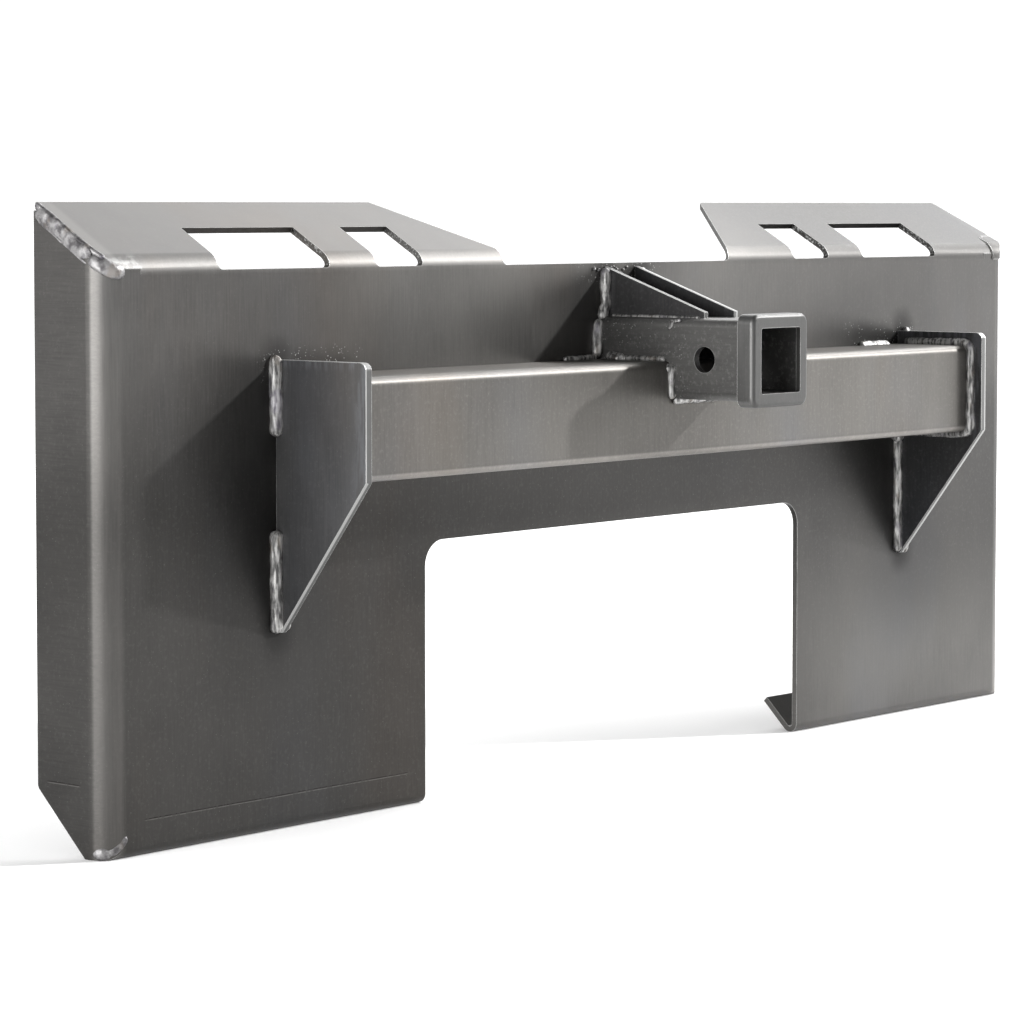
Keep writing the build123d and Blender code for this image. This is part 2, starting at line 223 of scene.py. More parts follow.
def inside_socket(m):
    """1 on the walls of the socket's bore and of the pin hole."""
    x, y, z = m.parts(m.place)
    across = m.absolute(x)
    level = m.minus(z, (SOCKET_TOP + SOCKET_LOW) / 2 * MM)
    square = m.math("MAXIMUM", across, m.absolute(level))
    deep = m.ramp(square, (BORE / 2 + 0.25) * MM, (BORE / 2 + 0.05) * MM)
    behind = m.minus(y, at(0, PIN_Y, 0).y)
    from_pin = m.math("SQRT", m.plus(m.math("POWER", behind, 2.0), m.math("POWER", level, 2.0)))
    in_hole = m.ramp(from_pin, (PIN_RADIUS + 0.25) * MM, (PIN_RADIUS + 0.1) * MM)
    in_wall = m.ramp(across, (SOCKET_X - 0.3) * MM, (SOCKET_X - 0.9) * MM)
    return m.math("MAXIMUM", deep, m.times(in_hole, in_wall))


def scribed(m, color, sideways):
    """The fine line scratched along the foot of the left leg and its side."""
    x, y, z = m.parts(m.place)
    drift = m.math("MULTIPLY_ADD", m.noise((9, 9, 9), detail=2), 0.0014, -0.0007)
    face_line = (26.0, x, -0.536, -0.258, m.ramp(sideways, 0.4, 0.1))
    side_line = (51.5, y, at(0, 25, 0).y, at(0, 62, 0).y, m.ramp(sideways, 0.9, 0.99))
    for level, across, start, end, facing in (face_line, side_line):
        height = m.minus(m.plus(z, drift), level * MM)
        span = m.times(m.ramp(across, start, start + 0.004), m.ramp(across, end, end - 0.004))
        there = m.times(m.times(span, facing), m.ramp(x, 0.0, -0.02))
        broken = m.ramp(m.noise((300, 300, 60), detail=2), 0.35, 0.5, 0.35, 1.0)
        there = m.times(there, broken)
        dark = m.times(m.ramp(m.absolute(height), 0.0006, 0.0002), there)
        pale = m.times(m.ramp(m.absolute(m.plus(height, 0.0009)), 0.0005, 0.0002), there)
        color = m.mix(m.times(dark, 0.75), color, (0.012, 0.011, 0.010))
        color = m.mix(m.times(pale, 0.3), color, (0.22, 0.21, 0.20))
    return color


def cut_faces(m, color, cut):
    """Cut faces on gussets and ribs, painted dark with a painted highlight, and a paler band beside a gusset's
    front and top edges.

    The painted highlight on a cut face is a narrow strip along one of its sides, wider where the face looks
    down; cut faces that look up get a painted light from above."""
    x, y, z = m.parts(m.place)
    across, _, up = m.facing()
    out = m.absolute(x)
    front_band = m.ramp(y, at(0, -72, 0).y, at(0, -87, 0).y)
    top_band = m.ramp(z, (GUSSET_TOP - 9) * MM, (GUSSET_TOP - 1) * MM)
    band = m.math("MAXIMUM", front_band, top_band)
    streaks = m.ramp(m.noise((260, 260, 34)), 0.4, 0.62)
    band = m.times(m.times(band, streaks), m.ramp(out, 0.2, 0.3))
    color = m.mix(m.times(band, 0.45), color, (0.17, 0.175, 0.19))
    # Painted highlight: a lit strip along one side of each cut face
    strip = m.ramp(up, -0.2, -0.45, 0.0010, 0.0031)
    lit = m.ramp(m.plus(m.minus(out, GUSSET_X * MM), strip), -0.0003, 0.0003)
    for middle in (-RIB_X - 1.2, RIB_X - 1.2):
        beside = m.absolute(m.minus(x, middle * MM))
        lit = m.math("MAXIMUM", lit, m.ramp(beside, 0.0014, 0.0011, 0.0, 0.8))
    # Cut faces that look up are painted lighter, a painted light from above
    top_face = m.times(m.ramp(out, 0.1, 0.2), m.ramp(up, 0.5, 0.8, 0.0, 0.5))
    lit = m.math("MAXIMUM", lit, top_face)
    # The rest of the cut face is painted dark, a painted shade
    cut_face_painted_light = m.mix(lit, shaded(cut, 0.28), cut)
    return m.mix(m.ramp(m.absolute(across), 0.6, 0.3), color, cut_face_painted_light)


def painted_sheet_light(m, sideways):
    """Painted light and shade on the bent sheet: lighter on top at the left and at the foot on the right,
    painted shade under the tube and on the right flange, painted highlights on the side bends, and flat sides
    painted lighter low down.
    """
    x, _, z = m.parts(m.place)
    out = m.absolute(x)
    drift = m.math("MULTIPLY_ADD", m.noise((4, 4, 4), (2, 5, 8)), 0.12, -0.06)
    level = m.plus(z, drift)
    # Painted light and shade: the left part lighter towards the top, the right part lighter at the foot and a
    # little on top
    left = m.ramp(level, 0.22, 0.37, 0.60, 1.42)
    right = m.plus(m.ramp(level, 0.0, 0.19, 1.5, 0.53), m.ramp(level, 0.27, 0.33, 0.0, 0.34))
    shade = m.blend(m.ramp(m.plus(x, drift), 0.0, 0.4), left, right)
    # Painted shade on the right flange
    right_flange_shade = m.times(m.ramp(z, 0.412, 0.42), m.ramp(x, 0.1, 0.3))
    shade = m.times(shade, m.gain(right_flange_shade, -0.37))
    # Painted shade on the face under the tube
    shade_under_tube = m.times(m.ramp(z, 0.198, 0.215), m.ramp(z, 0.275, 0.26))
    shade_under_tube = m.times(shade_under_tube, m.ramp(out, 0.42, 0.34))
    shade = m.times(shade, m.gain(shade_under_tube, -0.17))
    # Painted highlight on the rounded side bends, stronger low down
    side_bend_highlight = m.times(m.ramp(out, (HALF - 20) * MM, (HALF - 13) * MM), m.ramp(sideways, 0.995, 0.95))
    shade = m.times(shade, m.gain(side_bend_highlight, m.ramp(level, 0.12, 0.4, 0.95, 0.35)))
    # Flat sides painted lighter low down and darker towards the top
    flat_side = m.ramp(sideways, 0.965, 0.995)
    return m.times(shade, m.gain(flat_side, m.ramp(level, 0.05, 0.32, 0.15, -0.26)))


def soot_and_painted_shade(m, color, roughness, lines, toward, dark):
    """Painted shade round the welds where the parts meet, and soot with deeper painted shade close to them,
    with less of that on the rear side.
    """
    front = m.ramp(toward[1], 0.2, -0.2)
    distance = m.minus(m.near_any(lines), m.times(m.noise((40, 40, 40)), 0.010))
    # Painted shade: darker up to about 10 cm from the weld lines, in the corners where the parts meet
    painted_shade_near_welds = m.ramp(distance, 0.10, 0.012)
    # Soot and deeper painted shade right by the welds
    soot_and_close_shade = m.times(m.ramp(distance, 0.020, -0.002), m.ramp(front, 0.0, 1.0, 0.35, 1.0))
    color = m.mix(m.times(painted_shade_near_welds, 0.30), color, shaded(dark, 0.5))
    color = m.mix(m.times(soot_and_close_shade, 0.65), color, shaded(dark, 0.25))
    return color, m.plus(roughness, m.times(soot_and_close_shade, 0.12))


def dusted(m, color, lines, toward):
    """Pale specks close to some of the welds, not on the rear side."""
    dust = m.ramp(m.cells((420, 420, 420)), 0.24, 0.14)
    patchy = m.ramp(m.noise((130, 130, 130), detail=2), 0.42, 0.6)
    there = m.times(m.ramp(m.near_any(lines), 0.015, 0.003), m.ramp(toward[1], 0.5, 0.1))
    dust = m.times(m.times(dust, patchy), there)
    return m.mix(m.times(dust, 0.8), color, (0.45, 0.45, 0.44))


def sheet_marks_and_bend_light(m, color, roughness, toward, sideways, dark):
    """Nicked window ends that look left, painted shade low on the top bend and a painted highlight on its
    crown, and a smear of weld at its left end.
    """
    x, _, z = m.parts(m.place)
    sawn = m.times(m.ramp(toward[0], -0.75, -0.9), m.ramp(z, 0.37, 0.39))
    sawn = m.times(sawn, m.ramp(m.absolute(x), 0.53, 0.52))
    nicks = m.ramp(m.noise((500, 500, 500), rough=0.6), 0.5, 0.66)
    color = m.mix(m.times(sawn, nicks), color, (0.30, 0.30, 0.295))
    turned = m.times(m.ramp(sideways, 0.1, 0.35), m.ramp(sideways, 0.985, 0.93))
    roughness = m.plus(roughness, m.times(turned, 0.06))
    bend = m.times(m.ramp(toward[2], 0.02, 0.2), m.ramp(toward[2], 0.86, 0.74))
    bend = m.times(bend, m.ramp(z, 0.39, 0.40))
    # Painted shade on the lower part of the top bend
    shaded_low_bend = m.times(bend, m.ramp(toward[2], 0.45, 0.2))
    color = m.mix(m.times(shaded_low_bend, 0.3), color, shaded(dark, 0.45))
    # Painted highlight on the crown of the top bend, a little stronger on the left
    bend_crown_highlight = m.times(bend, m.ramp(toward[2], 0.25, 0.5))
    bend_crown_highlight = m.times(bend_crown_highlight, m.ramp(x, 0.2, -0.1, 0.25, 0.36))
    color = m.mix(bend_crown_highlight, color, m.mix(1.0, color, (1.9, 1.9, 1.9), "MULTIPLY"))
    smear = m.times(m.ramp(x, -0.525, -0.545), m.ramp(z, 0.408, 0.416))
    smear = m.times(smear, m.ramp(m.noise((120, 120, 240)), 0.45, 0.62))
    color = m.mix(m.times(smear, m.times(bend, 0.7)), color, (0.26, 0.26, 0.255))
    return color, m.plus(roughness, m.times(bend, 0.10))


def steel(name, dark, light, rough, streak_axis, wear_and_highlight, side_axis=None, tint=0.5, soot_and_shade=(), grain=1.0,
          metallic=0.92, sheet=False, cut=None, bore=False, dusty=(), painted_light_left=0.0, painted_light_low=0.0,
          gritty=0.08):
    """Bare steel: fine brushed lines, broad clouds, faint oil tints, worn edges with a painted highlight, and
    marks, painted light and painted shade where asked.

    The lines for soot and painted shade and those for dust run along welds; the two gains lift what looks left
    or down, as painted light."""
    m = Nodes(name)
    toward = m.facing()
    sideways = m.absolute(toward[0])
    lines = m.noise(stretched(650.0, 30.0, streak_axis), detail=4, rough=0.62)
    if side_axis is not None:
        side_lines = m.noise(stretched(700.0, 30.0, side_axis), detail=4, rough=0.62)
        lines = m.blend(m.ramp(sideways, 0.7, 0.9), lines, side_lines)
    bands = m.noise(stretched(40.0, 3.0, streak_axis))
    clouds = m.noise((5, 5, 5), detail=4, rough=0.55, distortion=0.3)
    grit = m.noise((420, 420, 420), rough=0.7)
    value = m.plus(m.times(lines, 0.32), m.times(clouds, 0.60))
    value = m.plus(value, m.times(bands, 0.08))
    color = m.mix(m.ramp(value, 0.22, 0.78), dark, light)
    warm = m.ramp(m.noise((6, 6, 2.2), (3, 1, 7)), 0.52, 0.72)
    cool = m.ramp(m.noise((7, 7, 2.6), (9, 4, 2)), 0.52, 0.74)
    color = m.mix(m.times(warm, tint), color, m.mix(1.0, color, (1.10, 0.99, 0.90), "MULTIPLY"))
    color = m.mix(m.times(cool, tint), color, m.mix(1.0, color, (0.93, 0.98, 1.09), "MULTIPLY"))
    if sheet:
        # Painted light and shade on the bent sheet
        color = m.mix(1.0, color, painted_sheet_light(m, sideways), "MULTIPLY")
        color = scribed(m, color, sideways)
    if cut is not None:
        color = cut_faces(m, color, cut)
    # Painted shade on the walls of the socket's bore and pin hole
    if bore:
        color = m.mix(inside_socket(m), color, (0.075, 0.074, 0.072))
    coarse = m.ramp(m.noise((330, 330, 330), (4, 2, 9), detail=4, rough=0.65), 0.5, 0.7)
    color = m.mix(m.times(coarse, gritty), color, shaded(light, 1.9))
    specks = m.ramp(m.cells((210, 210, 210)), 0.1, 0.055)
    color = m.mix(m.times(specks, 0.35), color, shaded(light, 1.7))
    roughness = m.plus(m.times(lines, 0.16), m.times(clouds, 0.14))
    roughness = m.plus(roughness, rough - 0.15)
    height = m.plus(lines, m.times(grit, 0.5 * grain))
    # Soot and painted shade round the welds
    if soot_and_shade:
        color, roughness = soot_and_painted_shade(m, color, roughness, soot_and_shade, toward, dark)
    if dusty:
        color = dusted(m, color, dusty, toward)
    # Pale edges: wear, and a painted highlight where an edge would catch the light
    worn_and_lit_edge = m.times(m.edge_wear_and_highlight(0.0007), m.ramp(m.noise((60, 60, 60)), 0.25, 0.6, 0.35, 1.0))
    color = m.mix(m.times(worn_and_lit_edge, wear_and_highlight), color, (0.56, 0.56, 0.55))
    if sheet:
        color, roughness = sheet_marks_and_bend_light(m, color, roughness, toward, sideways, dark)
    # Painted light: what looks down is made lighter, a painted reflection of the floor
    if painted_light_low:
        color = m.mix(1.0, color, m.gain(m.ramp(toward[2], -0.1, -0.4), painted_light_low), "MULTIPLY")
    # Painted light: what looks left is made lighter
    if painted_light_left:
        color = m.mix(1.0, color, m.gain(m.ramp(toward[0], -0.5, -0.9), painted_light_left), "MULTIPLY")
    m.put(m.shader.inputs["Base Color"], color)
    m.put(m.shader.inputs["Roughness"], roughness)
    m.put(m.shader.inputs["Metallic"], metallic)
    m.put(m.shader.inputs["Normal"], m.bump(height, 0.2, 0.00006))
    return m.material


def weld_metal(name, grain, dark, pale):
    """Solidified weld: pale lengthwise streaks, dark hollows and faint straw and violet tints."""
    m = Nodes(name)
    streaks = m.noise(grain, rough=0.55)
    fine = m.noise((600, 600, 600), rough=0.6)
    tint = m.noise((90, 90, 60))
    color = m.mix(m.ramp(streaks, 0.34, 0.66), dark, pale)
    color = m.mix(m.times(m.ramp(tint, 0.55, 0.7), 0.5), color, (0.13, 0.12, 0.15))
    color = m.mix(m.times(m.ramp(tint, 0.42, 0.3), 0.35), color, (0.20, 0.165, 0.13))
    m.put(m.shader.inputs["Base Color"], color)
    m.put(m.shader.inputs["Roughness"], m.ramp(streaks, 0.2, 0.8, 0.58, 0.44))
    m.put(m.shader.inputs["Metallic"], 0.8)
    m.put(m.shader.inputs["Normal"], m.bump(m.plus(fine, streaks), 0.4, 0.0004))
    return m.material


def line(start, end):
    return at(*start), at(*end)


# Weld lines where the parts meet, round which soot and painted shade are laid
soot_and_shade_lines = []
for side in (-1, 1):
    outer = side * GUSSET_X
    stitch_start, stitch_end = side * (GUSSET_INNER_X - 60), side * (GUSSET_INNER_X - 18)
    soot_and_shade_lines.append(line((outer, 0, GUSSET_LOW), (outer, 0, GUSSET_LOW + 78)))
    soot_and_shade_lines.append(line((outer, 0, GUSSET_TOP - 60), (outer, 0, GUSSET_TOP)))
    soot_and_shade_lines.append(line((stitch_start, 0, TUBE_TOP), (stitch_end, 0, TUBE_TOP)))
soot_and_shade_lines.append(line((-RIB_X, 0, TUBE_TOP), (-RIB_X, 0, RIB_TOP)))
soot_and_shade_lines.append(line((RIB_X, 0, TUBE_TOP), (RIB_X, 0, RIB_TOP)))
right_half_soot_and_shade = soot_and_shade_lines[4:]
rib_soot_and_shade = soot_and_shade_lines[6:]

dust_lines = [line((side * 318, 0, GUSSET_TOP - 6), (side * (GUSSET_X + 9), 0, GUSSET_TOP - 2))
              for side in (-1, 1)]
dust_lines.append(line((-48, 0, RIB_TOP - 4), (40, 0, RIB_TOP - 4)))
# Colour of the painted highlight on cut faces; the rest of a cut face is painted at a little over a quarter of
# it
CUT = (0.34, 0.34, 0.335)
SHEET_DARK, SHEET_LIGHT = (0.0495, 0.048, 0.0465), (0.095, 0.0915, 0.087)
X, Y, Z = 0, 1, 2
# The plate: painted light and shade on the bent sheet, and soot and painted shade round the welds
plate_steel = steel("plate_steel", SHEET_DARK, SHEET_LIGHT, rough=0.40, streak_axis=Z, side_axis=Y,
                    wear_and_highlight=0.6, soot_and_shade=soot_and_shade_lines, sheet=True, dusty=dust_lines)
# Steel for the top right corner weld: the plate's steel, painted much lighter where it looks left, a painted
# light on its shaded side
corner_steel = steel("corner_steel", SHEET_DARK, SHEET_LIGHT, rough=0.40, streak_axis=Z, side_axis=Y,
                     wear_and_highlight=0.6, sheet=True, painted_light_left=8.0)
# The tube: a painted reflection of the floor on its faces that look down, and painted shade round the welds of
# the right half
tube_steel = steel("tube_steel", (0.074, 0.070, 0.065), (0.140, 0.133, 0.124), rough=0.46, streak_axis=Z,
                   side_axis=Y, tint=0.7, wear_and_highlight=0.6, soot_and_shade=right_half_soot_and_shade, grain=1.4, painted_light_low=1.0, gritty=0.14)
# The left gusset's steel is a lighter copy of the gusset steel: painted light on the side that the key light
# leaves in shade
left_gusset_lit_steel = steel("left_gusset_lit_steel", (0.062, 0.0615, 0.062), (0.122, 0.120, 0.119), rough=0.50,
                          streak_axis=Z, tint=0.7, wear_and_highlight=0.9, metallic=0.8, cut=CUT)
right_gusset_steel = steel("right_gusset_steel", (0.046, 0.046, 0.048), (0.090, 0.089, 0.090), rough=0.42,
                           streak_axis=Z, tint=0.7, wear_and_highlight=0.9, cut=CUT, gritty=0.25)
left_wall = -SOCKET_X
socket_dust = [line((left_wall, -52, SOCKET_TOP - 14), (left_wall, -4, SOCKET_TOP - 8)),
               line((left_wall, TUBE_FRONT - 8, SOCKET_LOW + 6), (left_wall, TUBE_FRONT - 4, SOCKET_TOP - 6))]
# The socket: painted shade inside its bore and pin hole, and soot and painted shade round the rib welds
socket_steel = steel("socket_steel", (0.087, 0.086, 0.084), (0.168, 0.165, 0.16), rough=0.48, streak_axis=Y,
                     side_axis=Y, wear_and_highlight=0.75, soot_and_shade=rib_soot_and_shade, metallic=0.8, bore=True, dusty=socket_dust,
                     gritty=0.30)
# The collar: faces that look left painted lighter, a painted light, and painted shade inside its bore
collar_steel = steel("collar_steel", (0.056, 0.056, 0.055), (0.105, 0.104, 0.102), rough=0.44,
                     streak_axis=Z, wear_and_highlight=0.8, bore=True, painted_light_left=0.9)
weld_silver = weld_metal("weld_silver", (420, 420, 75), (0.075, 0.074, 0.073), (0.45, 0.445, 0.435))
weld_grey = weld_metal("weld_grey", (150, 150, 150), (0.085, 0.081, 0.084), (0.29, 0.285, 0.285))

looks = {
    "formed_plate": plate_steel,
    "crossmember_tube": tube_steel,
    "left_end_gusset": left_gusset_lit_steel,
    "right_end_gusset": right_gusset_steel,
    "receiver_tube": socket_steel,
    "receiver_collar": collar_steel,
    "left_receiver_rib": right_gusset_steel,
    "right_receiver_rib": right_gusset_steel,
    "top_right_corner_weld": corner_steel,
}
for node, look in looks.items():
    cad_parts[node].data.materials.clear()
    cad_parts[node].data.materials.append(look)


# ---------- weld beads ----------
def along(points, step):
    """Evenly spaced points on a run of straight legs."""
    lengths = [0.0]
    for a, b in zip(points, points[1:]):
        lengths.append(lengths[-1] + (b - a).length)
    count = max(4, round(lengths[-1] / step))
    spaced = []
    leg = 0
    for index in range(count + 1):
        distance = lengths[-1] * index / count
        while leg < len(points) - 2 and distance > lengths[leg + 1]:
            leg += 1
        share = (distance - lengths[leg]) / (lengths[leg + 1] - lengths[leg])
        spaced.append(points[leg].lerp(points[leg + 1], share))
    return spaced, lengths[-1]


def rounded_run(corners, radius):
    """A run of points in millimetres with each inner corner rounded."""
    pieces = 6
    corners = [Vector(corner) for corner in corners]
    points = [corners[0]]
    for before, corner, after in zip(corners, corners[1:], corners[2:]):
        reach = min(radius, (corner - before).length / 2, (after - corner).length / 2)
        start = corner + (before - corner).normalized() * reach
        end = corner + (after - corner).normalized() * reach
        for index in range(pieces + 1):
            share = index / pieces
            points.append(start.lerp(corner, share).lerp(corner.lerp(end, share), share))
    points.append(corners[-1])
    return points


def bead_mesh(verts, faces, path, radius, seed, rough=1.0, flat=1.0, out=Vector((0, -1, 0)), pitch=2.6):
    """Adds one lumpy, rippled bead along a path in millimetres.

    flat squashes it along the outward direction, and pitch is the distance between ripples."""
    step = 0.7
    ring = 18
    points, length = along([Vector(point) for point in path], step)
    shift = Vector((seed * 13.7, seed * 7.1, seed * 3.3))
    base = len(verts)
    count = len(points)
    for index, point in enumerate(points):
        ahead = points[min(index + 1, count - 1)] - points[max(index - 1, 0)]
        tangent = ahead.normalized()
        up = (out - tangent * out.dot(tangent)).normalized()
        side = tangent.cross(up)
        distance = length * index / (count - 1)
        end = min(distance, length - distance)
        cap = math.sqrt(max(0.02, 1 - (1 - min(1, end / (radius * 1.1))) ** 2))
        swell = 1 + 0.16 * rough * noise.noise(Vector((distance / 10.0, seed * 5.3, 0.0)))
        sway = 0.18 * rough * noise.noise(Vector((distance / 11.0, 4.1, seed * 2.9)))
        for turn in range(ring):
            angle = 2 * math.pi * turn / ring
            bow = radius * 0.45 * (1 - math.cos(angle))
            phase = (distance + bow + 1.3 * noise.noise(Vector((distance / 6.0, seed, 1.0)))) / pitch
            ripple = 0.02 * (1 - 2 * (phase - math.floor(phase)))
            ridges = 0.07 * math.cos(3 * angle + 3.0 * noise.noise(Vector((distance / 18.0, seed, 7.0))))
            round_place = Vector((2.2 * math.cos(angle), 2.2 * math.sin(angle) + seed, distance / 15.0))
            ridges += 0.12 * noise.noise(round_place)
            size = radius * cap * swell * (1 + (ripple + ridges) * rough)
            rise = math.cos(angle) * size * flat
            across = math.sin(angle) * size + sway * radius
            spot = point + up * rise + side * across
            lump = noise.noise((spot + shift) * 0.16) * 0.10 + noise.noise((spot - shift) * 0.7) * 0.03
            spot += (up * math.cos(angle) + side * math.sin(angle)) * radius * lump * rough * cap
            verts.append(spot)
    for index in range(count - 1):
        for turn in range(ring):
            one = base + index * ring + turn
            two = base + index * ring + (turn + 1) % ring
            faces.append((one, two, two + ring, one + ring))
    faces.append(tuple(base + turn for turn in reversed(range(ring))))
    faces.append(tuple(base + (count - 1) * ring + turn for turn in range(ring)))


def weld(name, nodes, beads, look=weld_silver):
    """One piece from several beads, standing for the CAD welds it names."""
    verts, faces = [], []
    for index, bead in enumerate(beads):
        bead_mesh(verts, faces, **{"seed": 1.7 * index + 0.37 * len(name), **bead})
    mesh = bpy.data.meshes.new(name)
    mesh.from_pydata([at(*vert) for vert in verts], [], faces)
    mesh.materials.append(look)
    for face in mesh.polygons:
        face.use_smooth = True
    piece = bpy.data.objects.new(name, mesh)
    bpy.context.scene.collection.objects.link(piece)
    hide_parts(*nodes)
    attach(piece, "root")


def slope(y, drop):
    """The level of the top of the flange at that distance behind the face, less a drop."""
    return FLANGE_CORNER - drop + FLANGE_TAN * y


def left_corner_band():
    """The ribbon of weld along the left end of the top flange, its two ridges and the blob at the front."""
    x = 1.2 - HALF
    turn = [(x + 0.8, 15, slope(15, 5.2)), (5 - HALF, 5.2, slope(5.2, 5.6)),
            (12 - HALF, 1.0, slope(0, 7.0)), (20 - HALF, -0.4, slope(0, 9.5))]
    ribbon = [(x, 69.5, slope(69.5, 5.4)), (x, 14, slope(14, 5.4))]
    upper_ridge = [(x + 1.4, 70.5, slope(70.5, 0.8)), (x + 1.4, 16, slope(16, 0.8)),
                   (6 - HALF, 5, slope(5, 1.2))]
    lower_ridge = [(x, 66, slope(66, 10.6)), (x, 22, slope(22, 11.4)), (3 - HALF, 8.5, slope(8.5, 11.6))]
    return [
        {"path": ribbon, "radius": 6.3, "out": Vector((-1, 0, 0)), "rough": 0.8, "flat": 0.34},
        {"path": rounded_run(turn, 6), "radius": 5.6, "out": Vector((-0.7, -0.7, 0.25)), "rough": 0.9,
         "flat": 0.42},
        {"path": upper_ridge, "radius": 2.3, "out": Vector((-1, -0.2, 1)), "rough": 0.9},
        {"path": lower_ridge, "radius": 1.5, "out": Vector((-1, 0, 0)), "rough": 1.5},
    ]


for side, name in ((-1, "left"), (1, "right")):
    outward = Vector((side, -1, 0))
    inward = Vector((-side, -1, 0))
    x = side * (GUSSET_X + 2.6)
    weld(name + "_gusset_stitches", [name + "_gusset_outer_welds"], [
        {"path": [(x, -2.8, low), (x + side * 0.5, -2.6, high)], "radius": 5.2, "out": outward, "rough": 0.9,
         "flat": 0.64, "pitch": 3.4}
        for low, high in ((GUSSET_LOW - 0.5, GUSSET_LOW + 75), (GUSSET_TOP - 56, GUSSET_TOP + 3.5))])
    x = side * (GUSSET_INNER_X - 2.2)
    weld(name + "_gusset_root_bead", [name + "_gusset_inner_weld"], [
        {"path": [(x, -2.4, GUSSET_LOW + 1), (x, -2.4, TUBE_LOW - 7)], "radius": 4.3, "out": inward,
         "rough": 0.9, "flat": 0.64},
        {"path": [(x - side * 2, -4, TUBE_LOW - 12), (x - side * 3, -4.5, TUBE_LOW - 3)], "radius": 6.0,
         "out": inward, "rough": 1.2, "flat": 0.7}])
    x = side * (GUSSET_INNER_X - 1.6)
    loop = rounded_run([(x, -8, TUBE_TOP + 1.6), (x, TUBE_FRONT - 1.6, TUBE_TOP + 1.6),
                        (x, TUBE_FRONT - 1.6, TUBE_LOW - 1.6), (x, -8, TUBE_LOW - 1.6)], 8)
    weld(name + "_tube_end_bead", [name + "_tube_end_weld"], [
        {"path": loop, "radius": 4.4, "out": Vector((-side, -0.45, 0.12)), "rough": 0.9, "flat": 0.75}])
    if side < 0:
        weld("top_left_corner_beads", ["top_left_corner_weld"], left_corner_band(), weld_grey)
    corner = [{"path": [(side * (HALF - 6), 19, 8), (side * (HALF - 6), 31, 20)], "radius": 3.0,
               "out": Vector((-side, 0, -1)), "rough": 0.9}]
    if side < 0:
        corner.append({"path": [(0.9 - HALF, 15, 5.2), (2.7 - HALF, 8.5, 4.6), (7.2 - HALF, 3.4, 5.0)],
                       "radius": 4.2, "out": Vector((-0.7, -0.7, 0)), "rough": 0.9, "flat": 0.3})
        smear = [(4.4 - HALF, 6, 4.4), (9.4 - HALF, 2.0, 6.2), (14.5 - HALF, 0.3, 10.5),
                 (19 - HALF, -0.1, 16)]
        corner.append({"path": smear, "radius": 2.4, "out": Vector((-0.3, -1, 0)), "rough": 0.8,
                       "flat": 0.24})
    weld("bottom_" + name + "_corner_bead", ["bottom_" + name + "_corner_weld"], corner, weld_grey)

both = (-1, 1)
weld("tube_top_stitch_beads", ["crossmember_top_stitches"], [
    {"path": [(side * (GUSSET_INNER_X - 61), -2.4, TUBE_TOP), (side * (GUSSET_INNER_X - 17), -2.4, TUBE_TOP)],
     "radius": 4.0, "out": Vector((0, -1, 1)), "rough": 0.7, "flat": 0.6} for side in both])
spacing = 2 * GUSSET_INNER_X / 5
stitch_middles = [index * spacing - GUSSET_INNER_X for index in (1, 2, 3, 4)]
weld("tube_bottom_stitch_beads", ["crossmember_bottom_stitches"], [
    {"path": [(x - 21, -2.4, TUBE_LOW), (x + 21, -2.4, TUBE_LOW)],
     "radius": 4.6, "out": Vector((0, -1, -1)), "rough": 0.9, "flat": 0.75} for x in stitch_middles])
beads = []
for side in both:
    x = side * (SOCKET_X + 1.4)
    beads.append({"path": [(x, TUBE_FRONT - 1.4, SOCKET_LOW), (x, TUBE_FRONT - 1.4, TUBE_TOP - 3)],
                  "radius": 3.5, "out": Vector((side, -1, 0)), "rough": 1.0, "flat": 0.7})
    beads.append({"path": [(x + side, TUBE_FRONT - 0.6, TUBE_TOP - 9),
                           (x + side, TUBE_FRONT + 1.5, TUBE_TOP - 2)],
                  "radius": 4.6, "out": Vector((side, -1, 0.4)), "rough": 1.3, "flat": 0.7})
    beads.append({"path": [(side * (SOCKET_X - 1.0), TUBE_FRONT + 2, SOCKET_TOP - 2.2),
                           (side * (SOCKET_X - 1.0), TUBE_FRONT - 8, SOCKET_TOP - 1.8)],
                  "radius": 1.2, "out": Vector((side, 0, 1)), "rough": 1.5})
beads.append({"path": [(-SOCKET_X - 0.3, TUBE_FRONT + 3, SOCKET_TOP - 9),
                       (0.9 - SOCKET_X, TUBE_FRONT - 1, SOCKET_TOP - 2.4),
                       (1.5 - SOCKET_X, TUBE_FRONT - 9, SOCKET_TOP - 1.2)],
              "radius": 1.7, "out": Vector((-1, 0, 1)), "rough": 1.4, "flat": 0.7})
beads.append({"path": [(1 - SOCKET_X, TUBE_FRONT - 1.6, SOCKET_LOW - 1.2),
                       (SOCKET_X - 1, TUBE_FRONT - 1.6, SOCKET_LOW - 1.2)],
              "radius": 3.4, "out": Vector((0, -1, -1)), "rough": 1.1, "flat": 0.7})
weld("socket_front_beads", ["receiver_saddle_welds"], beads)
beads = []
for side in both:
    x = side * (SOCKET_X + 1.6)
    beads.append({"path": [(x, TUBE_FRONT + 5, TUBE_TOP + 1), (x + side * 0.6, -28, TUBE_TOP + 1.4),
                           (x, -10, TUBE_TOP + 1)],
                  "radius": 2.9, "out": Vector((side, 0, 1)), "rough": 1.5, "flat": 0.8})
    beads.append({"path": [(x + side * 1.5, -30, TUBE_TOP + 2), (x + side * 2, -12, TUBE_TOP + 2.6)],
                  "radius": 4.8, "out": Vector((side, 0, 1)), "rough": 1.4, "flat": 0.7})
weld("socket_side_beads", ["receiver_side_welds"], beads)
beads = []
